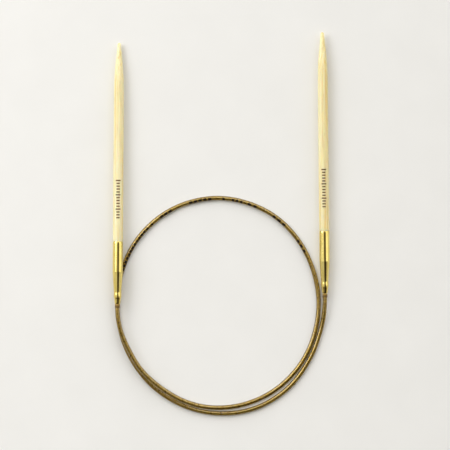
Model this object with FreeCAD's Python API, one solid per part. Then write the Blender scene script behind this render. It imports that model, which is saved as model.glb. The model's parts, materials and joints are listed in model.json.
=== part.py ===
"""Circular knitting needle: two bamboo tips, brass joins and one turning, jacketed wire cable.

Millimetres, +Z up. The needle lies on a table at Z = 0 with both points towards +Y. The origin is on
the table, under the middle of the two rigid needles. The cable leaves the left needle, goes one and
a half times round, passes under the left join, and goes into the right needle.
"""
import FreeCAD, Part
import math
import os

from FreeCAD import Vector

os.makedirs("parts", exist_ok=True)

# --- driving dimensions -------------------------------------------------------------------------
SHAFT_RADIUS = 1.75            # 3.5 mm needle
BAMBOO_LENGTH = 69.5           # point to the mouth of the brass join
SHOULDER_DISTANCE = 17.0       # from the point to where the full diameter starts
SHOULDER_BLEND_RADIUS = 93.0   # the long swell between the point's cone and the shaft
POINT_HALF_ANGLE = 5.6         # degrees, of the point's cone
TENON_RADIUS = 1.38
TENON_LENGTH = 12.4

FERRULE_LENGTH = 21.8
FERRULE_RADIUS = 1.78
MOUTH_TAPER = 0.6              # the join's mouth runs down to the bamboo so that stitches don't snag
BARREL_END = 10.6              # distances from the mouth, along the join
CONE_END = 17.9
LAND_END = 19.6
LAND_RADIUS = 1.28
LAND_CROWN = 0.04
NECK_RADIUS = 1.20
NOSE_RADIUS = 0.93
NOSE_ROUND = 0.15
GLUE_GAP = 0.02                # radial, round the tenon
SOCKET_DEPTH = 12.6
CHAMBER_RADIUS = 1.00          # the crimp stop turns in here
CHAMBER_END = 18.2
RUNNING_CLEARANCE = 0.05       # radial, in the chamber and in the nose's hole
END_CLEARANCE = 0.10           # along the axis, at the stop's shoulder and at the nose

CORE_RADIUS = 0.50
JACKET_RADIUS = 0.80
COLLAR_RADIUS = 0.90
COLLAR_LENGTH = 1.30
COLLAR_ROUND = 0.12
STOP_LENGTH = 4.7
STOP_CHAMFER = 0.15

LEFT_POINT = (-35.65, 44.50)   # X and Y of each needle's point
RIGHT_POINT = (35.35, 48.20)
LEFT_LEAN = 0.372              # degrees: each point leans in towards the other
RIGHT_LEAN = -0.573
LEFT_TILT = 1.38               # degrees: the left join lies on the cable's second turn
SHOULDER_HEIGHT = 1.78         # of the left axis, where its shoulder rests on the table
EXIT_RUN_LEFT = 4.4            # straight cable outside each join
EXIT_RUN_RIGHT = 3.6

FLOOR = JACKET_RADIUS          # height of the cable's centre where it lies on the table

# The corners of the cable's route between its two straight exits, chosen by hand. The first three
# ride over the second turn, which lies under the left join.
ROUTE = [
    (-33.7, -60.5, 2.9),
    (-27.0, -72.2, 2.6),
    (-11.6, -82.5, 1.6),
    (4.6, -83.6, FLOOR),
    (19.4, -77.6, FLOOR),
    (29.9, -66.0, FLOOR),
    (34.5, -51.5, FLOOR),
    (33.6, -37.6, FLOOR),
    (27.4, -23.8, FLOOR),
    (16.3, -13.6, FLOOR),
    (0.1, -8.8, FLOOR),
    (-16.0, -12.1, FLOOR),
    (-28.5, -21.8, FLOOR),
    (-35.4, -35.1, FLOOR),
    (-36.9, -50.6, FLOOR),
    (-32.9, -64.9, FLOOR),
    (-23.2, -77.5, FLOOR),
    (-8.1, -85.1, FLOOR),
    (8.9, -85.2, FLOOR),
    (22.8, -77.9, FLOOR),
    (31.5, -66.2, FLOOR),
    (35.3, -54.8, FLOOR),
]
ARC_SHARE = 0.45               # of the shorter run, taken up by each bend on both of its sides


# --- where each needle lies ---------------------------------------------------------------------
class Needle:
    """One rigid needle's axis: its point, and the direction from the point towards the cable."""

    def __init__(self, point, lean, tilt, axis_height, height_at):
        lean = math.radians(lean)
        tilt = math.radians(tilt)
        self.direction = Vector(
            -math.sin(lean) * math.cos(tilt),
            -math.cos(lean) * math.cos(tilt),
            math.sin(tilt),
        )
        self.point = Vector(point[0], point[1], axis_height - height_at * math.sin(tilt))

    def at(self, distance):
        """The place on the axis at this distance from the point."""
        return self.point + self.direction * distance

    def placed(self, shape):
        """A shape made along +Z from its point at the origin, moved onto this axis."""
        shape.Placement = FreeCAD.Placement(
            self.point, FreeCAD.Rotation(Vector(0, 0, 1), self.direction)
        )
        return shape


LEFT = Needle(LEFT_POINT, LEFT_LEAN, LEFT_TILT, SHOULDER_HEIGHT, SHOULDER_DISTANCE)
RIGHT = Needle(RIGHT_POINT, RIGHT_LEAN, 0.0, FERRULE_RADIUS, 0.0)

MOUTH = BAMBOO_LENGTH
NOSE_END = MOUTH + FERRULE_LENGTH
COLLAR_START = NOSE_END + END_CLEARANCE
COLLAR_END = COLLAR_START + COLLAR_LENGTH
STOP_END = MOUTH + CHAMBER_END - END_CLEARANCE
STOP_START = STOP_END - STOP_LENGTH


# --- turned shapes ------------------------------------------------------------------------------
def line(a, b):
    """An edge between two (radius, distance) points of a turned outline."""
    return Part.LineSegment(Vector(a[0], 0, a[1]), Vector(b[0], 0, b[1])).toShape()


def arc(a, middle, b):
    """An arc through three (radius, distance) points of a turned outline."""
    points = [Vector(p[0], 0, p[1]) for p in (a, middle, b)]
    return Part.Arc(*points).toShape()


def turned(edges):
    """The solid swept by a closed outline of edges round the Z axis."""
    face = Part.Face(Part.Wire(Part.__sortEdges__(edges)))
    solid = face.revolve(Vector(0, 0, 0), Vector(0, 0, 1), 360)
    return Part.Solid(solid.Shells[0]) if solid.ShapeType != "Solid" else solid


def needle_tip():
    """Bamboo: a blunt point, a cone, a long swell to the shaft, and a tenon that is glued in the join."""
    half = math.radians(POINT_HALF_ANGLE)
    swell_start = SHOULDER_DISTANCE - SHOULDER_BLEND_RADIUS * math.sin(half)
    swell_radius = SHAFT_RADIUS - SHOULDER_BLEND_RADIUS * (1 - math.cos(half))
    # the blunt end is a ball that is tangent to the cone
    ball = (swell_radius - swell_start * math.tan(half)) / (
        math.cos(half) - (1 - math.sin(half)) * math.tan(half)
    )
    cone_start = (ball * math.cos(half), ball * (1 - math.sin(half)))
    on_ball = math.radians(45)
    ball_middle = (ball * math.sin(on_ball), ball * (1 - math.cos(on_ball)))
    swell_middle = (
        SHAFT_RADIUS - SHOULDER_BLEND_RADIUS * (1 - math.cos(half / 2)),
        SHOULDER_DISTANCE - SHOULDER_BLEND_RADIUS * math.sin(half / 2),
    )
    tenon_end = MOUTH + TENON_LENGTH
    corners = [
        (SHAFT_RADIUS, SHOULDER_DISTANCE),
        (SHAFT_RADIUS, MOUTH),
        (TENON_RADIUS, MOUTH),
        (TENON_RADIUS, tenon_end),
        (0, tenon_end),
        (0, 0),
    ]
    edges = [
        arc((0, 0), ball_middle, cone_start),
        line(cone_start, (swell_radius, swell_start)),
        arc((swell_radius, swell_start), swell_middle, corners[0]),
    ]
    edges += [line(a, b) for a, b in zip(corners, corners[1:])]
    return turned(edges)


def ferrule():
    """Brass join: barrel, cone, crowned land and nose outside; socket, stop chamber and hole inside."""
    land_middle = (LAND_RADIUS + LAND_CROWN, MOUTH + (CONE_END + LAND_END) / 2)
    land_start = (LAND_RADIUS, MOUTH + CONE_END)
    land_end = (LAND_RADIUS, MOUTH + LAND_END)
    neck = (NECK_RADIUS, MOUTH + LAND_END + LAND_RADIUS - NECK_RADIUS)
    nose_edge = (NOSE_RADIUS, NOSE_END - NOSE_ROUND)
    nose_face = (NOSE_RADIUS - NOSE_ROUND, NOSE_END)
    round_middle = (
        NOSE_RADIUS - NOSE_ROUND * (1 - math.sqrt(0.5)),
        NOSE_END - NOSE_ROUND * (1 - math.sqrt(0.5)),
    )
    socket_radius = TENON_RADIUS + GLUE_GAP
    hole_radius = CORE_RADIUS + RUNNING_CLEARANCE
    outside = [
        (socket_radius, MOUTH),
        (SHAFT_RADIUS, MOUTH),
        (FERRULE_RADIUS, MOUTH + MOUTH_TAPER),
        (FERRULE_RADIUS, MOUTH + BARREL_END),
        land_start,
    ]
    inside = [
        nose_face,
        (hole_radius, NOSE_END),
        (hole_radius, MOUTH + CHAMBER_END),
        (CHAMBER_RADIUS, MOUTH + CHAMBER_END),
        (CHAMBER_RADIUS, MOUTH + SOCKET_DEPTH),
        (socket_radius, MOUTH + SOCKET_DEPTH),
        (socket_radius, MOUTH),
    ]
    edges = [line(a, b) for a, b in zip(outside, outside[1:])]
    edges += [
        arc(land_start, land_middle, land_end),
        line(land_end, neck),
        line(neck, nose_edge),
        arc(nose_edge, round_middle, nose_face),
    ]
    edges += [line(a, b) for a, b in zip(inside, inside[1:])]
    return turned(edges)


def crimp_stop():
    """Metal sleeve crimped on the core's end: it turns in the chamber and keeps the cable in the join."""
    outline = [
        (CORE_RADIUS, STOP_START),
        (CHAMBER_RADIUS - RUNNING_CLEARANCE - STOP_CHAMFER, STOP_START),
        (CHAMBER_RADIUS - RUNNING_CLEARANCE, STOP_START + STOP_CHAMFER),
        (CHAMBER_RADIUS - RUNNING_CLEARANCE, STOP_END),
        (CORE_RADIUS, STOP_END),
        (CORE_RADIUS, STOP_START),
    ]
    return turned([line(a, b) for a, b in zip(outline, outline[1:])])


def cable_collar():
    """Nylon collar on the core between the nose and the jacket, with rounded outer edges."""
    inset = COLLAR_ROUND * (1 - math.sqrt(0.5))
    low = (COLLAR_RADIUS - COLLAR_ROUND, COLLAR_START)
    low_middle = (COLLAR_RADIUS - inset, COLLAR_START + inset)
    low_edge = (COLLAR_RADIUS, COLLAR_START + COLLAR_ROUND)
    high_edge = (COLLAR_RADIUS, COLLAR_END - COLLAR_ROUND)
    high_middle = (COLLAR_RADIUS - inset, COLLAR_END - inset)
    high = (COLLAR_RADIUS - COLLAR_ROUND, COLLAR_END)
    edges = [
        line((CORE_RADIUS, COLLAR_START), low),
        arc(low, low_middle, low_edge),
        line(low_edge, high_edge),
        arc(high_edge, high_middle, high),
        line(high, (CORE_RADIUS, COLLAR_END)),
        line((CORE_RADIUS, COLLAR_END), (CORE_RADIUS, COLLAR_START)),
    ]
    return turned(edges)


# --- the cable ----------------------------------------------------------------------------------
def cable_route():
    """Every corner of the cable's free length, from the left collar to the right collar."""
    corners = [LEFT.at(COLLAR_END), LEFT.at(COLLAR_END + EXIT_RUN_LEFT)]
    corners += [Vector(*p) for p in ROUTE]
    corners += [RIGHT.at(COLLAR_END + EXIT_RUN_RIGHT), RIGHT.at(COLLAR_END)]
    return corners


def rounded_path(corners):
    """Straight runs joined by tangent arcs, as edges in order, with each arc's radius."""
    edges = []
    radii = []
    last = corners[0]
    for before, corner, after in zip(corners, corners[1:], corners[2:]):
        back = before - corner
        ahead = after - corner
        trim = ARC_SHARE * min(back.Length, ahead.Length)
        half_turn = (math.pi - back.getAngle(ahead)) / 2
        radius = trim / math.tan(half_turn)
        back.normalize()
        ahead.normalize()
        start = corner + back * trim
        end = corner + ahead * trim
        inwards = (back + ahead).normalize()
        middle = corner + inwards * (radius / math.cos(half_turn) - radius)
        edges.append(Part.LineSegment(last, start).toShape())
        edges.append(Part.Arc(start, middle, end).toShape())
        radii.append(radius)
        last = end
    edges.append(Part.LineSegment(last, corners[-1]).toShape())
    return edges, radii


def rod_along(edges, radius):
    """A round rod whose centre follows the edges, which join smoothly end to end."""
    path = Part.Wire(edges)
    first = edges[0]
    start = first.valueAt(first.FirstParameter)
    tangent = first.tangentAt(first.FirstParameter)
    section = Part.Wire(Part.Circle(start, tangent, radius).toShape())
    return path.makePipeShell([section], True, False)


def volume_against_length(name, solid, area, length):
    print(f"{name}: volume {solid.Volume:.2f} mm3, section times length {area * length:.2f} mm3")


free_edges, bend_radii = rounded_path(cable_route())
free_length = sum(edge.Length for edge in free_edges)
print(f"free cable length {free_length:.1f} mm, {len(bend_radii)} bends")
print("bend radii, mm:", [round(r, 1) for r in bend_radii])

core_edges = [Part.LineSegment(LEFT.at(STOP_START), LEFT.at(COLLAR_END)).toShape()]
core_edges += free_edges
core_edges += [Part.LineSegment(RIGHT.at(COLLAR_END), RIGHT.at(STOP_START)).toShape()]
cable_core = rod_along(core_edges, CORE_RADIUS)
jacket_bore = rod_along(free_edges, CORE_RADIUS)
cable_jacket = rod_along(free_edges, JACKET_RADIUS).cut(jacket_bore)

core_length = sum(edge.Length for edge in core_edges)
core_area = math.pi * CORE_RADIUS ** 2
jacket_area = math.pi * (JACKET_RADIUS ** 2 - CORE_RADIUS ** 2)
volume_against_length("cable_core", cable_core, core_area, core_length)
volume_against_length("cable_jacket", cable_jacket, jacket_area, free_length)

# --- one file per piece -------------------------------------------------------------------------
pieces = {"cable_jacket": cable_jacket, "cable_core": cable_core}
for side, needle in (("left", LEFT), ("right", RIGHT)):
    pieces[f"{side}_needle_tip"] = needle.placed(needle_tip())
    pieces[f"{side}_ferrule"] = needle.placed(ferrule())
    pieces[f"{side}_crimp_stop"] = needle.placed(crimp_stop())
    pieces[f"{side}_cable_collar"] = needle.placed(cable_collar())

for name, shape in pieces.items():
    solids = shape.Solids
    box = shape.BoundBox
    print(f"{name}: {len(solids)} solid, valid {shape.isValid()}, Z {box.ZMin:.3f} to {box.ZMax:.3f}")
    solids[0].exportStep(f"parts/{name}.step")
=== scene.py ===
"""Looks of the circular knitting needle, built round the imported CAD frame. Metres, +Z up, points to +Y."""
import bisect
import json
import math

import bmesh
import bpy
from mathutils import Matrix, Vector


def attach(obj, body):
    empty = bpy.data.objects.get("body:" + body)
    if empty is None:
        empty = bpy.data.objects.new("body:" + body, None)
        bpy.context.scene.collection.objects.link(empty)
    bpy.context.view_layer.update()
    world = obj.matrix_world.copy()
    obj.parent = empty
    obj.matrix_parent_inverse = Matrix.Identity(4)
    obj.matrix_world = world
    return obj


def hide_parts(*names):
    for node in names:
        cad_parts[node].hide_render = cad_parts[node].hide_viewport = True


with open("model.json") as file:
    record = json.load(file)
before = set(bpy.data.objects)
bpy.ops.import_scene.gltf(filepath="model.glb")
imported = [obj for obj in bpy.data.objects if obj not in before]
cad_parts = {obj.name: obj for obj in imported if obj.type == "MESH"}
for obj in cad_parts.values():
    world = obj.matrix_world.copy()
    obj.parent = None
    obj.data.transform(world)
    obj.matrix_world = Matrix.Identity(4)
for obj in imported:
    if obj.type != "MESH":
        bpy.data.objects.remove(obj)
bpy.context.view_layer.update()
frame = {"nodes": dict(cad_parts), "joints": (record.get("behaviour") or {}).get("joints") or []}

MM = 0.001

# --- dimensions that the CAD source also has, mm -------------------------------------------------
SHAFT_RADIUS = 1.75
SHOULDER = 17.0                 # distances are from each needle's point, along its axis
SWELL_RADIUS = 93.0
POINT_HALF_ANGLE = math.radians(5.6)
TENON_RADIUS = 1.38
MOUTH = 69.5
TENON_END = MOUTH + 12.4

JOIN_RADIUS = 1.78
MOUTH_TAPER = 0.6
BARREL_END = MOUTH + 10.6
CONE_END = MOUTH + 17.9
LAND_END = MOUTH + 19.6
LAND_RADIUS = 1.28
LAND_CROWN = 0.04
NECK_RADIUS = 1.20
NOSE_RADIUS = 0.93
NOSE_END = MOUTH + 21.8
SOCKET_RADIUS = 1.40            # round the tenon
SOCKET_END = MOUTH + 12.6
CHAMBER_RADIUS = 1.00           # round the crimp stop
CHAMBER_END = MOUTH + 18.2
HOLE_RADIUS = 0.55              # round the core

COLLAR_RADIUS = 0.90
COLLAR_START = NOSE_END + 0.1
COLLAR_END = COLLAR_START + 1.3
STOP_START = MOUTH + 13.4       # the crimp stop's end towards the point, where the core ends too
JACKET_RADIUS = 0.8
CORE_RADIUS = 0.5

# The corners of the cable's route between its straight exits, in metres, as in the CAD source.
ROUTE = [
    (-0.0337, -0.0605, 0.0029),
    (-0.0270, -0.0722, 0.0026),
    (-0.0116, -0.0825, 0.0016),
    (0.0046, -0.0836, 0.0008),
    (0.0194, -0.0776, 0.0008),
    (0.0299, -0.0660, 0.0008),
    (0.0345, -0.0515, 0.0008),
    (0.0336, -0.0376, 0.0008),
    (0.0274, -0.0238, 0.0008),
    (0.0163, -0.0136, 0.0008),
    (0.0001, -0.0088, 0.0008),
    (-0.0160, -0.0121, 0.0008),
    (-0.0285, -0.0218, 0.0008),
    (-0.0354, -0.0351, 0.0008),
    (-0.0369, -0.0506, 0.0008),
    (-0.0329, -0.0649, 0.0008),
    (-0.0232, -0.0775, 0.0008),
    (-0.0081, -0.0851, 0.0008),
    (0.0089, -0.0852, 0.0008),
    (0.0228, -0.0779, 0.0008),
    (0.0315, -0.0662, 0.0008),
    (0.0353, -0.0548, 0.0008),
]
EXIT_RUN_LEFT = 4.4             # mm of straight cable outside each join
EXIT_RUN_RIGHT = 3.6


# --- each needle's own frame ---------------------------------------------------------------------
class Needle:
    """One needle's axis, read from its swivel joint: distances run from the point to the cable."""

    def __init__(self, side):
        joint = next(j for j in frame["joints"] if j["name"] == f"{side}_swivel")
        self.body = joint["child"]
        self.along = Vector(joint["axis"]).normalized()
        self.point = Vector(joint["pos_m"]) - self.along * NOSE_END * MM
        self.across = self.along.cross(Vector((0, 0, 1))).normalized()
        self.up = self.across.cross(self.along)

    def at(self, distance):
        """The place on the axis at this distance, mm, from the point."""
        return self.point + self.along * distance * MM

    def around(self, radius, angle, distance):
        """The place at this radius, mm, and angle, 0 on top, from the axis."""
        turned = self.up * math.cos(angle) + self.across * math.sin(angle)
        return self.at(distance) + turned * radius * MM


LEFT = Needle("left")
RIGHT = Needle("right")
NEEDLES = {"left": LEFT, "right": RIGHT}


# --- mesh building -------------------------------------------------------------------------------
SHARP_ANGLE = math.radians(40)
ROUND_STEPS = 5                 # on each rounded corner


def mesh_object(name, vertices, faces, uvs=None, local=None):
    """A smooth-shaded mesh object. uvs is one pair per vertex; local is kept as a point attribute."""
    mesh = bpy.data.meshes.new(name)
    mesh.from_pydata([tuple(v) for v in vertices], [], faces)
    mesh.shade_smooth()
    mesh.set_sharp_from_angle(angle=SHARP_ANGLE)
    if uvs is not None:
        layer = mesh.uv_layers.new(name="UVMap")
        for loop in mesh.loops:
            layer.data[loop.index].uv = uvs[loop.vertex_index]
    if local is not None:
        attribute = mesh.attributes.new("local", "FLOAT_VECTOR", "POINT")
        for i, place in enumerate(local):
            attribute.data[i].vector = place
    obj = bpy.data.objects.new(name, mesh)
    bpy.context.scene.collection.objects.link(obj)
    return obj


def ring_faces(first, second, sides):
    """Quads between two rings of vertices that start at these indices."""
    faces = []
    for i in range(sides):
        j = (i + 1) % sides
        faces.append((first + i, first + j, second + j, second + i))
    return faces


def turned(name, needle, outline, sides, closed=True, swell=None):
    """A lathed piece on a needle's axis. outline holds (radius, distance) in mm. A closed outline
    makes a ring, and an open one starts and ends on the axis. swell(angle, distance) scales the radius.
    The places on the needle, in mm, are kept for the materials: across, up and along."""
    vertices = []
    local = []
    rows = []
    for radius, distance in outline:
        rows.append(len(vertices))
        count = sides if radius > 0 else 1
        for i in range(count):
            angle = 2 * math.pi * i / sides
            scaled = radius * (swell(angle, distance) if swell else 1.0)
            vertices.append(needle.around(scaled, angle, distance))
            local.append((scaled * math.sin(angle), scaled * math.cos(angle), distance))
    faces = []
    pairs = list(zip(range(len(rows)), range(1, len(rows))))
    if closed:
        pairs.append((len(rows) - 1, 0))
    for a, b in pairs:
        if outline[a][0] > 0 and outline[b][0] > 0:
            faces += ring_faces(rows[a], rows[b], sides)
        elif outline[a][0] > 0:
            faces += [(rows[a] + i, rows[a] + (i + 1) % sides, rows[b]) for i in range(sides)]
        elif outline[b][0] > 0:
            faces += [(rows[a], rows[b] + (i + 1) % sides, rows[b] + i) for i in range(sides)]
    return outwards(mesh_object(name, vertices, faces, local=local))


def outwards(obj):
    """Turns a closed mesh's faces to point out."""
    work = bmesh.new()
    work.from_mesh(obj.data)
    bmesh.ops.recalc_face_normals(work, faces=work.faces)
    work.to_mesh(obj.data)
    work.free()
    return obj


def divided(outline, step, closed=False):
    """The outline with its longer runs cut into steps, so that its vertex normals stay true."""
    points = list(outline) + ([outline[0]] if closed else [])
    result = []
    for a, b in zip(points, points[1:]):
        parts = max(1, math.ceil(math.dist(a, b) / step))
        result += [(a[0] + (b[0] - a[0]) * k / parts, a[1] + (b[1] - a[1]) * k / parts)
                   for k in range(parts)]
    if not closed:
        result.append(points[-1])
    return result


def rounded(outline, radii):
    """A closed outline with the corners named in radii (index to radius, mm) rounded."""
    result = []
    count = len(outline)
    for i, corner in enumerate(outline):
        if i not in radii:
            result.append(corner)
            continue
        corner = Vector(corner)
        back = (Vector(outline[i - 1]) - corner).normalized()
        ahead = (Vector(outline[(i + 1) % count]) - corner).normalized()
        half = back.angle(ahead) / 2
        trim = radii[i] / math.tan(half)
        centre = corner + (back + ahead).normalized() * radii[i] / math.sin(half)
        start = corner + back * trim - centre
        end = corner + ahead * trim - centre
        inner = [start.slerp(end, k / ROUND_STEPS) for k in range(1, ROUND_STEPS)]
        for spoke in (start, *inner, end):
            result.append(tuple(centre + spoke.normalized() * radii[i]))
    return result


# --- the cable's line ----------------------------------------------------------------------------
def spline_line(corners, resolution):
    """Points read from the route's smooth NURBS spline."""
    curve = bpy.data.curves.new("route", "CURVE")
    curve.dimensions = "3D"
    curve.resolution_u = resolution
    spline = curve.splines.new("NURBS")
    spline.points.add(len(corners) - 1)
    for control, place in zip(spline.points, corners):
        control.co = (*place, 1.0)
    spline.order_u = 3
    spline.use_endpoint_u = True
    holder = bpy.data.objects.new("route", curve)
    mesh = bpy.data.meshes.new_from_object(holder)
    line = [v.co.copy() for v in mesh.vertices]
    bpy.data.meshes.remove(mesh)
    bpy.data.objects.remove(holder)
    bpy.data.curves.remove(curve)
    return line


class Path:
    """A line with, at each of its points, the distance along it and two directions across it."""

    def __init__(self, points):
        self.points = points
        self.distance = [0.0]
        for a, b in zip(points, points[1:]):
            self.distance.append(self.distance[-1] + (b - a).length)
        self.outer = []
        self.up = []
        last = len(points) - 1
        for i in range(len(points)):
            forward = (points[min(i + 1, last)] - points[max(i - 1, 0)]).normalized()
            outer = forward.cross(Vector((0, 0, 1))).normalized()
            self.outer.append(outer)
            self.up.append(outer.cross(forward))

    def around(self, i, radius, angle):
        """The place at this radius, metres, from point i: angle 0 is up and +90 degrees outwards."""
        return self.points[i] + (self.up[i] * math.cos(angle) + self.outer[i] * math.sin(angle)) * radius

    def place(self, distance, radius, angle):
        """As around, at any distance along the line."""
        i = max(1, min(len(self.points) - 1, bisect.bisect_left(self.distance, distance)))
        share = (distance - self.distance[i - 1]) / (self.distance[i] - self.distance[i - 1])
        return self.around(i - 1, radius, angle).lerp(self.around(i, radius, angle), share)


def tube(name, path, radius, sides, groove=None, twist=0.0):
    """A capped tube along a path, with UVs round and along it. groove(share) is how much of the radius is
    missing this share of the way round, and twist is the angle that the tube turns through per metre."""
    vertices = []
    uvs = []
    faces = []
    for i, distance in enumerate(path.distance):
        for k in range(sides):
            share = k / sides
            kept = 1 - groove(share) if groove else 1.0
            vertices.append(path.around(i, radius * kept, 2 * math.pi * share + twist * distance))
            uvs.append((share, distance))
    for i in range(len(path.points) - 1):
        faces += ring_faces(i * sides, (i + 1) * sides, sides)
    last = (len(path.points) - 1) * sides
    faces.append(tuple(range(sides)))
    faces.append(tuple(last + k for k in reversed(range(sides))))
    return outwards(mesh_object(name, vertices, faces, uvs))


# --- node trees ----------------------------------------------------------------------------------
class Tree:
    """Short calls for building a node tree."""

    def __init__(self, tree):
        self.tree = tree

    def add(self, kind, **settings):
        node = self.tree.nodes.new(kind)
        for key, value in settings.items():
            setattr(node, key, value)
        return node

    def link(self, source, target):
        self.tree.links.new(source, target)

    def put(self, socket, value):
        """Sets a socket to a plain value, or links it to another socket."""
        if isinstance(value, bpy.types.NodeSocket):
            self.link(value, socket)
        else:
            socket.default_value = value

    def coordinates(self, name):
        return self.add("ShaderNodeTexCoord").outputs[name]

    def parts(self, vector):
        """The three parts of a vector."""
        node = self.add("ShaderNodeSeparateXYZ")
        self.link(vector, node.inputs[0])
        return node.outputs

    def scaled(self, vector, scale, offset=(0, 0, 0)):
        node = self.add("ShaderNodeMapping")
        self.link(vector, node.inputs["Vector"])
        node.inputs["Scale"].default_value = scale
        node.inputs["Location"].default_value = offset
        return node.outputs["Vector"]

    def noise(self, vector, scale, detail, roughness=0.5):
        node = self.add("ShaderNodeTexNoise")
        self.link(vector, node.inputs["Vector"])
        node.inputs["Scale"].default_value = scale
        node.inputs["Detail"].default_value = detail
        node.inputs["Roughness"].default_value = roughness
        return node.outputs["Fac"]

    def ramp(self, value, *stops):
        """A colour ramp of (position, colour) stops."""
        node = self.add("ShaderNodeValToRGB")
        self.link(value, node.inputs["Fac"])
        elements = node.color_ramp.elements
        while len(elements) < len(stops):
            elements.new(0.5)
        for element, (position, colour) in zip(elements, stops):
            element.position = position
            element.color = (*colour, 1)
        return node.outputs["Color"]

    def multiplied(self, colour, other, share=1.0):
        """A colour multiplied by this share of another."""
        node = self.add("ShaderNodeMix", data_type="RGBA", blend_type="MULTIPLY")
        node.inputs[0].default_value = share
        self.link(colour, node.inputs[6])
        self.link(other, node.inputs[7])
        return node.outputs[2]

    def between(self, share, first, last):
        """The number this share of the way from first to last."""
        node = self.add("ShaderNodeMix", data_type="FLOAT")
        self.link(share, node.inputs[0])
        self.put(node.inputs[2], first)
        self.put(node.inputs[3], last)
        return node.outputs[0]

    def maths(self, operation, a, b=0.0):
        node = self.add("ShaderNodeMath", operation=operation)
        self.put(node.inputs[0], a)
        self.put(node.inputs[1], b)
        return node.outputs[0]

    def product(self, first, *others):
        for other in others:
            first = self.maths("MULTIPLY", first, other)
        return first

    def spread(self, value, low, high):
        """Maps 0 to 1 onto low to high."""
        node = self.add("ShaderNodeMapRange")
        self.link(value, node.inputs["Value"])
        node.inputs["To Min"].default_value = low
        node.inputs["To Max"].default_value = high
        return node.outputs["Result"]

    def step(self, value, edge, first=0.0, last=1.0):
        """Goes smoothly from first to last where the value passes the two numbers of the edge."""
        node = self.add("ShaderNodeMapRange", interpolation_type="SMOOTHSTEP")
        self.link(value, node.inputs["Value"])
        for name, number in zip(("From Min", "From Max", "To Min", "To Max"), (*edge, first, last)):
            node.inputs[name].default_value = number
        return node.outputs["Result"]


class Surface(Tree):
    """A new material's node tree, with its Principled node."""

    def __init__(self, name):
        self.material = bpy.data.materials.new(name)
        self.material.use_nodes = True
        super().__init__(self.material.node_tree)
        self.shader = self.tree.nodes["Principled BSDF"]

    def set(self, **values):
        """Sets sockets of the Principled node, named with _ for each space."""
        for key, value in values.items():
            self.put(self.shader.inputs[key.replace("_", " ")], value)

    def on_needle(self):
        """The place on the needle, in mm: across, up and along."""
        return self.add("ShaderNodeAttribute", attribute_name="local").outputs["Vector"]

    def bump(self, height, distance, strength):
        node = self.add("ShaderNodeBump")
        self.link(height, node.inputs["Height"])
        node.inputs["Distance"].default_value = distance
        node.inputs["Strength"].default_value = strength
        self.link(node.outputs["Normal"], self.shader.inputs["Normal"])


# --- materials -----------------------------------------------------------------------------------
WHITE = (1.0, 1.0, 1.0)
# painted shade: each needle's colour for its side away from the key lamp; the right needle's is darker
BAMBOO_SIDE_SHADE = {"left": (0.99, 0.98, 0.95), "right": (0.965, 0.915, 0.79)}
ACROSS_PER_MM = 0.28            # takes the shaft's width to about 0 to 1


def bamboo_material(name, seed, tan):
    """Pale polished bamboo: long fibres, darker streaks, small flecks, and painted shade, in the colour tan,
    over the side away from the key lamp.
    """
    look = Surface(name)
    place = look.on_needle()
    shift = (seed, seed * 2.3, seed * 5.1)
    broad = look.noise(look.scaled(place, (0.9, 0.9, 0.018), shift), 1.0, 3.0)
    fibre = look.noise(look.scaled(place, (7.0, 7.0, 0.10), shift), 1.0, 4.0, 0.65)
    band = look.noise(look.scaled(place, (2.3, 2.3, 0.022), shift), 1.0, 2.0)
    fleck = look.noise(look.scaled(place, (6.0, 6.0, 0.30), shift), 1.0, 2.0)
    across, up, along = look.parts(place)
    side = look.maths("ADD", look.maths("MULTIPLY", across, ACROSS_PER_MM), 0.5)

    pale = (0.875, 0.84, 0.565)
    base = look.ramp(broad, (0.30, (0.85, 0.79, 0.49)), (0.52, pale), (0.72, (0.83, 0.74, 0.435)))
    dark_streak = (0.62, 0.43, 0.20)
    pale_streak = (1.0, 0.97, 0.90)
    streaks = look.ramp(fibre, (0.38, dark_streak), (0.50, pale_streak), (0.75, (1.0, 1.0, 0.98)))
    flecks = look.ramp(fleck, (0.24, (0.55, 0.38, 0.18)), (0.33, WHITE))
    bands = look.ramp(band, (0.36, (0.93, 0.83, 0.62)), (0.50, WHITE))
    # darker towards the point, over its first 0.6 mm
    point_darkening = look.ramp(along, (0.10, (0.80, 0.70, 0.52)), (0.60, WHITE))
    # painted shade: the tan colour over the side of the needle away from the key lamp, fading out across the
    # shaft
    painted_side_shade = look.ramp(side, (0.20, tan), (0.62, WHITE))

    colour = look.multiplied(base, streaks, 0.38)
    colour = look.multiplied(colour, flecks, 0.45)
    for tint in (bands, point_darkening, painted_side_shade):
        colour = look.multiplied(colour, tint)
    look.set(Base_Color=colour, Roughness=look.spread(fibre, 0.34, 0.50), IOR=1.5, Specular_IOR_Level=0.3)
    look.set(Subsurface_Weight=0.8, Subsurface_Radius=(1.0, 0.8, 0.5), Subsurface_Scale=0.002)
    look.bump(fibre, 0.00002, 0.5)
    return look.material


def brass_material(name, seed):
    """Polished turned brass: fine rings from the tool, and very slight tarnish."""
    look = Surface(name)
    place = look.on_needle()
    shift = (seed, seed * 1.7, seed * 3.1)
    rings = look.noise(look.scaled(place, (0.15, 0.15, 14.0), shift), 1.0, 2.0)
    tarnish = look.noise(look.scaled(place, (0.8, 0.8, 0.25), shift), 1.0, 3.0)
    look.set(Base_Color=look.ramp(tarnish, (0.35, (0.80, 0.62, 0.17)), (0.65, (0.90, 0.74, 0.25))))
    look.set(Metallic=1.0, Roughness=look.spread(tarnish, 0.06, 0.12))
    look.bump(rings, 0.000004, 0.6)
    return look.material


def crimp_material():
    """Dull drawn brass tube."""
    look = Surface("crimp_brass")
    marks = look.noise(look.scaled(look.coordinates("Object"), (4000, 300, 4000)), 1.0, 3.0)
    look.set(Base_Color=look.ramp(marks, (0.3, (0.52, 0.38, 0.13)), (0.7, (0.70, 0.54, 0.24))))
    look.set(Metallic=1.0, Roughness=look.spread(marks, 0.3, 0.5))
    return look.material


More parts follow.
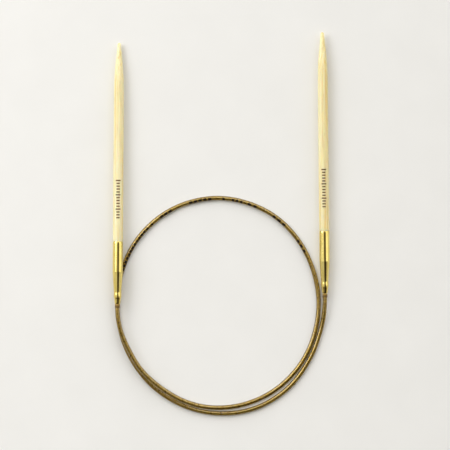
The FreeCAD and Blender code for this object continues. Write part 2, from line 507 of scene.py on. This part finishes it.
def wire_material():
    """Fine drawn wire, bronzed, with lines along it."""
    look = Surface("bronzed_wire")
    along = look.add("ShaderNodeUVMap").outputs["UV"]
    lines = look.noise(look.scaled(along, (6, 900, 1)), 1.0, 3.0)
    look.set(Base_Color=look.ramp(lines, (0.3, (0.33, 0.235, 0.066)), (0.7, (0.50, 0.385, 0.120))))
    look.set(Metallic=1.0, Roughness=look.spread(lines, 0.24, 0.32))
    return look.material


def jacket_material():
    """Clear brown nylon that fills the room round the wires."""
    look = Surface("smoky_nylon")
    cloud = look.noise(look.coordinates("Object"), 350.0, 3.0)
    look.set(Base_Color=look.ramp(cloud, (0.3, (0.71, 0.60, 0.34)), (0.7, (0.78, 0.69, 0.42))))
    look.set(Roughness=0.04, IOR=1.53, Transmission_Weight=1.0)
    return look.material


def collar_material():
    """Brown nylon collar: a light band by the metal, dark by the cable."""
    look = Surface("brown_collar")
    along = look.parts(look.on_needle())[2]
    share = look.maths("DIVIDE", look.maths("SUBTRACT", along, COLLAR_START), COLLAR_END - COLLAR_START)
    look.set(Base_Color=look.ramp(share, (0.30, (0.33, 0.205, 0.045)), (0.48, (0.15, 0.085, 0.016))))
    look.set(Roughness=0.4, IOR=1.53, Specular_IOR_Level=0.25)
    return look.material


def ink_material(name, colour):
    """Matt printed ink, a little uneven."""
    look = Surface(name)
    lighter = tuple(part * 1.7 for part in colour)
    uneven = look.noise(look.coordinates("Object"), 4000.0, 2.0)
    look.set(Base_Color=look.ramp(uneven, (0.3, colour), (0.7, lighter)))
    look.set(Roughness=0.7, Specular_IOR_Level=0.15)
    return look.material


def paper_material():
    """The table's pale paper."""
    look = Surface("paper")
    fibres = look.noise(look.coordinates("Object"), 60.0, 4.0)
    look.set(Base_Color=look.ramp(fibres, (0.3, (0.816, 0.808, 0.779)), (0.7, (0.836, 0.828, 0.799))))
    look.set(Roughness=0.9)
    return look.material


def dress(obj, material):
    """Gives a piece one material."""
    obj.data.materials.clear()
    obj.data.materials.append(material)
    return obj


# --- camera --------------------------------------------------------------------------------------
FRAME_WIDTH = 0.1575            # of what the camera sees at AIM_HEIGHT
FRAME_CENTRE = (0.00133, -0.01920)
AIM_HEIGHT = 0.001
CAMERA_HEIGHT = 1.3
SENSOR_WIDTH = 36.0

camera_data = bpy.data.cameras.new("camera")
camera_data.sensor_width = SENSOR_WIDTH
camera_data.lens = SENSOR_WIDTH * (CAMERA_HEIGHT - AIM_HEIGHT) / FRAME_WIDTH
camera = bpy.data.objects.new("camera", camera_data)
camera.location = (*FRAME_CENTRE, CAMERA_HEIGHT)
bpy.context.scene.collection.objects.link(camera)
bpy.context.scene.camera = camera

# --- the cable -----------------------------------------------------------------------------------
LINE_STEPS = 30                 # points on the cable's line for each corner
CORE_STEPS = 14                 # points on the core's line inside each join
JACKET_SIDES = 32
CORE_SIDES = 60
WIRE_COUNT = 6
LAY_LENGTH = 7.0 * MM
GROOVE_DEPTH = 0.035            # share of the core's radius
GROOVE_SHARPNESS = 6


def core_line(outside):
    """The core's line from one crimp stop to the other: through both joins, and outside them."""
    step = (COLLAR_END - STOP_START) / CORE_STEPS
    inner_left = [LEFT.at(STOP_START + step * k) for k in range(CORE_STEPS)]
    inner_right = [RIGHT.at(COLLAR_END - step * k) for k in range(1, CORE_STEPS + 1)]
    return inner_left + outside + inner_right


def wire_groove(share):
    """The grooves between six outer wires that are laid round a core and pressed into a round."""
    return GROOVE_DEPTH * abs(math.cos(WIRE_COUNT * math.pi * share)) ** GROOVE_SHARPNESS


exit_left = LEFT.at(COLLAR_END)
exit_right = RIGHT.at(COLLAR_END)
corners = [exit_left, LEFT.at(COLLAR_END + EXIT_RUN_LEFT)]
corners += [Vector(p) for p in ROUTE]
corners += [RIGHT.at(COLLAR_END + EXIT_RUN_RIGHT), exit_right]

cable = Path(spline_line(corners, LINE_STEPS))
jacket = tube("cable_jacket_tube", cable, JACKET_RADIUS * MM, JACKET_SIDES)
dress(jacket, jacket_material())
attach(jacket, "cable")
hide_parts("cable_jacket")
jacket.visible_shadow = False    # clear nylon lets the light past

lay = 2 * math.pi / LAY_LENGTH
core_path = Path(core_line(cable.points))
core = tube("cable_core_strand", core_path, CORE_RADIUS * MM, CORE_SIDES, wire_groove, lay)
dress(core, wire_material())
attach(core, "cable")
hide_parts("cable_core")


# --- the needles ---------------------------------------------------------------------------------
BAMBOO_SIDES = 96
BAMBOO_STEP = 0.5               # the longest run on the outline, mm
BALL_STEPS = 10
SWELL_STEPS = 20
MOUTH_BREAK = 0.04              # the bamboo's broken edge at the join's mouth

FLATS = 8                       # that hand grinding leaves round the taper
FLAT_DEPTH = 0.28               # 1 would make them quite flat
FLATS_END = SHOULDER + 4
FLATS_FADE = 12.0               # over this length towards the shaft
FLATS_START = 2.0               # over this length from the point
LEVEL_SHARE = 0.985             # keeps the true radius between a flat's middle and its edges
FLATS_WANDER = 0.06             # in flats
WANDER_LENGTH = 2.7             # mm for each radian of the wander
WANDER_SHIFT = 5                # radians for each flat of the phase

JOIN_SIDES = 128
JOIN_STEP = 0.4
LAND_INSET = 0.4                # this far inside each end of the land
LAND_RISE = 0.03                # its radius is larger by this
MOUTH_ROUND = 0.05
BARREL_ROUNDS = (0.9, 1.2)      # at its two ends
NOSE_ROUND = 0.15
HOLE_ROUND = 0.05

COLLAR_SIDES = 64
COLLAR_STEP = 0.2
COLLAR_ROUND = 0.12
WAIST_DEPTH = 0.035
WAIST_EDGES = (-0.18, -0.08, -0.02, 0.08)   # along the collar, from its middle

# What each needle adds to the one before, so that the two differ.
PHASE_STEP = 0.37               # in flats
BAMBOO_SHIFT = 3.7
BRASS_SHIFT = 2.9


def tip_outline():
    """The bamboo's outline: blunt ball, cone, swell, shaft and the tenon that is glued in the join."""
    half = POINT_HALF_ANGLE
    swell_start = SHOULDER - SWELL_RADIUS * math.sin(half)
    swell_radius = SHAFT_RADIUS - SWELL_RADIUS * (1 - math.cos(half))
    ball = (swell_radius - swell_start * math.tan(half)) / (
        math.cos(half) - (1 - math.sin(half)) * math.tan(half)
    )
    outline = [(0.0, 0.0)]
    for k in range(1, BALL_STEPS + 1):
        angle = (math.pi / 2 - half) * k / BALL_STEPS
        outline.append((ball * math.sin(angle), ball * (1 - math.cos(angle))))
    for k in range(SWELL_STEPS + 1):
        angle = half * (1 - k / SWELL_STEPS)
        outline.append((
            SHAFT_RADIUS - SWELL_RADIUS * (1 - math.cos(angle)),
            SHOULDER - SWELL_RADIUS * math.sin(angle),
        ))
    outline += [
        (SHAFT_RADIUS, MOUTH - MOUTH_BREAK),
        (SHAFT_RADIUS - MOUTH_BREAK, MOUTH),
        (TENON_RADIUS, MOUTH),
        (TENON_RADIUS, TENON_END),
        (0.0, TENON_END),
    ]
    return divided(outline, BAMBOO_STEP)


def ground_faces(phase):
    """How hand grinding leaves the taper slightly flat-sided: a scale for the radius."""
    half = math.pi / FLATS
    level = LEVEL_SHARE * math.sin(half) / half

    def scale(angle, distance):
        fade = min(1.0, max(0.0, (FLATS_END - distance) / FLATS_FADE)) * min(1.0, distance / FLATS_START)
        wander = phase + FLATS_WANDER * math.sin(distance / WANDER_LENGTH + WANDER_SHIFT * phase)
        turn = (angle * FLATS / (2 * math.pi) + wander) % 1.0 - 0.5
        flat = math.cos(half) / math.cos(turn * 2 * half)
        return 1.0 + fade * FLAT_DEPTH * (flat - level)

    return scale


def ferrule_outline():
    """The join's outline, with its outer edges rounded."""
    risen = LAND_RADIUS + LAND_RISE
    outline = [
        (SOCKET_RADIUS, MOUTH),
        (SHAFT_RADIUS, MOUTH),
        (JOIN_RADIUS, MOUTH + MOUTH_TAPER),
        (JOIN_RADIUS, BARREL_END),
        (LAND_RADIUS, CONE_END),
        (risen, CONE_END + LAND_INSET),
        (LAND_RADIUS + LAND_CROWN, (CONE_END + LAND_END) / 2),
        (risen, LAND_END - LAND_INSET),
        (LAND_RADIUS, LAND_END),
        (NECK_RADIUS, LAND_END + LAND_RADIUS - NECK_RADIUS),
        (NOSE_RADIUS, NOSE_END),
        (HOLE_RADIUS, NOSE_END),
        (HOLE_RADIUS, CHAMBER_END),
        (CHAMBER_RADIUS, CHAMBER_END),
        (CHAMBER_RADIUS, SOCKET_END),
        (SOCKET_RADIUS, SOCKET_END),
    ]
    radii = {1: MOUTH_ROUND, 2: BARREL_ROUNDS[0], 3: BARREL_ROUNDS[1], 10: NOSE_ROUND, 11: HOLE_ROUND}
    return divided(rounded(outline, radii), JOIN_STEP, closed=True)


def collar_outline():
    """The collar's outline: rounded ends and a shallow waist."""
    middle = (COLLAR_START + COLLAR_END) / 2
    slope_start, floor_start, floor_end, slope_end = (middle + edge for edge in WAIST_EDGES)
    waist = COLLAR_RADIUS - WAIST_DEPTH
    outline = [
        (CORE_RADIUS, COLLAR_START),
        (COLLAR_RADIUS, COLLAR_START),
        (COLLAR_RADIUS, slope_start),
        (waist, floor_start),
        (waist, floor_end),
        (COLLAR_RADIUS, slope_end),
        (COLLAR_RADIUS, COLLAR_END),
        (CORE_RADIUS, COLLAR_END),
    ]
    return divided(rounded(outline, {1: COLLAR_ROUND, 6: COLLAR_ROUND}), COLLAR_STEP, closed=True)


collar_nylon = collar_material()
crimp_brass = crimp_material()

for seed, (side, needle) in enumerate(NEEDLES.items(), start=1):
    faces = ground_faces(seed * PHASE_STEP)
    tip = turned(f"{side}_bamboo", needle, tip_outline(), BAMBOO_SIDES, closed=False, swell=faces)
    dress(tip, bamboo_material(f"{side}_bamboo", seed * BAMBOO_SHIFT, BAMBOO_SIDE_SHADE[side]))
    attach(tip, needle.body)
    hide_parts(f"{side}_needle_tip")

    join = turned(f"{side}_brass_join", needle, ferrule_outline(), JOIN_SIDES)
    dress(join, brass_material(f"{side}_brass", seed * BRASS_SHIFT))
    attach(join, needle.body)
    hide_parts(f"{side}_ferrule")

    collar = turned(f"{side}_collar", needle, collar_outline(), COLLAR_SIDES)
    dress(collar, collar_nylon)
    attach(collar, "cable")
    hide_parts(f"{side}_cable_collar")

    dress(frame["nodes"][f"{side}_crimp_stop"], crimp_brass)


# --- printed marks -------------------------------------------------------------------------------
INK_THICKNESS = 0.012           # mm
INK_GAP = 0.002                 # mm, under the ink

TICK_COUNT = 14
TICK_PITCH = 1.0                # mm
TICK_LENGTH = 0.42              # mm, along the shaft
TICK_WIDTH = 1.15               # mm, round the shaft
LONG_TICK_WIDTH = 1.7
LONG_TICK_EVERY = 5
FIRST_TICK = {"left": 48.0, "right": 47.8}

# Generic dashes printed along the cable: (mm from the left exit, length of each, how many, pitch).
CABLE_DASHES = [
    (129.8, 1.1, 3, 2.0),
    (141.6, 1.2, 3, 2.1),
    (153.6, 1.2, 2, 2.1),
    (158.9, 0.8, 3, 1.5),
    (165.2, 0.9, 1, 1.0),
    (169.9, 1.2, 5, 1.7),
    (184.6, 1.3, 3, 1.75),
    (192.6, 0.9, 1, 1.0),
    (195.0, 0.95, 13, 1.4),
]
DASH_ANGLES = (math.radians(-52), math.radians(12))
CABLE_DOTS = [226.0, 226.9, 237.4]
DOT_LENGTH = 0.35
DOT_ANGLES = (math.radians(48), math.radians(70))


def patch(place, low, high, first, last, surface):
    """A thin closed patch of ink over a round surface, between two distances and two angles.
    place(radius, angle, distance) gives a point."""
    vertices = []
    faces = []
    sides = 6
    across = sides + 1
    rows = 3
    base = surface + INK_GAP
    for radius in (base, base + INK_THICKNESS):
        for r in range(rows):
            distance = low + (high - low) * r / (rows - 1)
            for k in range(across):
                vertices.append(place(radius, first + (last - first) * k / sides, distance))
    layer = rows * across
    for r in range(rows - 1):
        for k in range(sides):
            a = r * across + k
            faces.append((a, a + 1, a + 1 + across, a + across))
            faces.append((layer + a, layer + a + across, layer + a + 1 + across, layer + a + 1))
    rim = list(range(across))
    rim += [r * across + sides for r in range(1, rows)]
    rim += [(rows - 1) * across + k for k in reversed(range(sides))]
    rim += [r * across for r in reversed(range(1, rows - 1))]
    for a, b in zip(rim, rim[1:] + rim[:1]):
        faces.append((a, a + layer, b + layer, b))
    return vertices, faces


def inked(name, patches, material, body):
    """One object of ink patches, riding on a body."""
    vertices = []
    faces = []
    for more_vertices, more_faces in patches:
        start = len(vertices)
        vertices += more_vertices
        faces += [tuple(start + i for i in face) for face in more_faces]
    obj = dress(outwards(mesh_object(name, vertices, faces)), material)
    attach(obj, body)
    return obj


def gauge_ticks(needle, first):
    """Generic ticks along a shaft, like a ruler's, as patches of ink."""
    patches = []
    for k in range(TICK_COUNT):
        width = TICK_WIDTH if k % LONG_TICK_EVERY else LONG_TICK_WIDTH
        half = width / 2 / SHAFT_RADIUS
        start = first + k * TICK_PITCH
        patches.append(patch(needle.around, start, start + TICK_LENGTH, -half, half, SHAFT_RADIUS))
    return patches


def on_cable(radius, angle, distance):
    """The place at this radius and distance, mm, on the cable: angle 0 is up and + outwards."""
    return cable.place(distance * MM, radius * MM, angle)


def cable_marks():
    """The dashes and dots, as patches of ink."""
    patches = []
    for first, long, count, pitch in CABLE_DASHES:
        for k in range(count):
            start = first + k * pitch
            patches.append(patch(on_cable, start, start + long, *DASH_ANGLES, JACKET_RADIUS))
    for start in CABLE_DOTS:
        patches.append(patch(on_cable, start, start + DOT_LENGTH, *DOT_ANGLES, JACKET_RADIUS))
    return patches


brown_ink = ink_material("brown_ink", (0.10, 0.052, 0.020))
black_ink = ink_material("black_ink", (0.010, 0.006, 0.003))

for side, needle in NEEDLES.items():
    inked(f"{side}_gauge_ticks", gauge_ticks(needle, FIRST_TICK[side]), brown_ink, needle.body)
marks = inked("cable_marks", cable_marks(), black_ink, "cable")


# --- set -----------------------------------------------------------------------------------------
KEY_DISTANCE = 0.75
KEY_ELEVATION = math.radians(38)
KEY_AZIMUTH = math.radians(153)         # seen from above, counter-clockwise from +X
KEY_AIM = (0, -0.02, 0)
KEY_SIZE = (0.56, 0.38)
KEY_POWER = 2.62

# How bright the world is, by the parts x, y and z of a direction from the object. A pair of limits is
# where one brightness turns into the next.
WALLS = (0.95, 1.35)                    # left and right
WALLS_NEAR = (0.58, 0.36)               # the same in the half towards -Y
SIDE_LIMITS = (-0.25, 0.25)             # x
NEAR_LIMITS = (-0.16, -0.01)            # y
FAR_GAIN = 1.68
FAR_LIMITS = (0.10, 0.40)               # y
VIEWER_GAIN = 0.18
VIEWER_LIMITS = (-0.32, -0.17)          # y
CORNER_LOSS = 0.35                      # in both far corners
CORNER_X_LIMITS = (0.35, 0.65)
CORNER_Y_LIMITS = (0.12, 0.30)
CAP_GAIN = 0.09                         # a dark oval overhead
CAP_X = (0.25, 0.18)                    # its middle, near and far
CAP_Y = -0.30
CAP_HALVES = (0.47, 0.55)
CAP_LIMITS = (0.7, 1.2)
HORIZON = 0.68
HORIZON_LIMITS = (0.10, 0.22)           # z
DIM_WALL = (0.12, (1.0, 0.80, 0.50))    # brightness and its colour
LIT_WALL = (0.50, (1.0, 0.995, 0.985))
FLOOR_HALF = 4


def key_light():
    """A soft rectangular lamp that the camera doesn't see."""
    data = bpy.data.lights.new("key", "AREA")
    data.shape = "RECTANGLE"
    data.size, data.size_y = KEY_SIZE
    data.energy = KEY_POWER
    lamp = bpy.data.objects.new("key", data)
    level = KEY_DISTANCE * math.cos(KEY_ELEVATION)
    height = KEY_DISTANCE * math.sin(KEY_ELEVATION)
    lamp.location = (level * math.cos(KEY_AZIMUTH), level * math.sin(KEY_AZIMUTH), height)
    lamp.rotation_euler = (Vector(KEY_AIM) - lamp.location).to_track_quat("-Z", "Y").to_euler()
    lamp.visible_camera = False
    bpy.context.scene.collection.objects.link(lamp)


def studio_world():
    """A light tent: bright walls, brightest far off, dim towards -Y, and a dark oval overhead."""
    world = bpy.data.worlds.new("studio")
    world.use_nodes = True
    sky = Tree(world.node_tree)
    x, y, z = sky.parts(sky.coordinates("Generated"))
    near = sky.step(y, NEAR_LIMITS)
    sides = sky.between(near, sky.step(x, SIDE_LIMITS, *WALLS_NEAR), sky.step(x, SIDE_LIMITS, *WALLS))
    far = sky.step(y, FAR_LIMITS, 1.0, FAR_GAIN)
    viewer = sky.step(y, VIEWER_LIMITS, VIEWER_GAIN, 1.0)

    cap_x = sky.maths("SUBTRACT", x, sky.step(y, NEAR_LIMITS, *CAP_X))
    across = sky.maths("POWER", sky.maths("DIVIDE", cap_x, CAP_HALVES[0]), 2.0)
    length = sky.maths("POWER", sky.maths("DIVIDE", sky.maths("SUBTRACT", y, CAP_Y), CAP_HALVES[1]), 2.0)
    cap = sky.step(sky.maths("ADD", across, length), CAP_LIMITS, CAP_GAIN, 1.0)

    in_corner = sky.step(sky.maths("ABSOLUTE", x), CORNER_X_LIMITS)
    loss = sky.maths("MULTIPLY", in_corner, sky.step(y, CORNER_Y_LIMITS, 0.0, CORNER_LOSS))
    wall = sky.product(cap, sides, far, viewer, sky.maths("SUBTRACT", 1.0, loss))

    background = sky.tree.nodes["Background"]
    sky.link(sky.ramp(wall, DIM_WALL, LIT_WALL), background.inputs["Color"])
    sky.link(sky.between(sky.step(z, HORIZON_LIMITS), HORIZON, wall), background.inputs["Strength"])
    return world


key_light()
bpy.context.scene.world = studio_world()
bpy.context.scene.view_settings.view_transform = "Standard"

floor_corners = [(x * FLOOR_HALF, y * FLOOR_HALF, 0) for x, y in ((-1, -1), (1, -1), (1, 1), (-1, 1))]
floor = dress(mesh_object("floor", floor_corners, [(0, 1, 2, 3)]), paper_material())

[tuple(p) for p in cable.points]
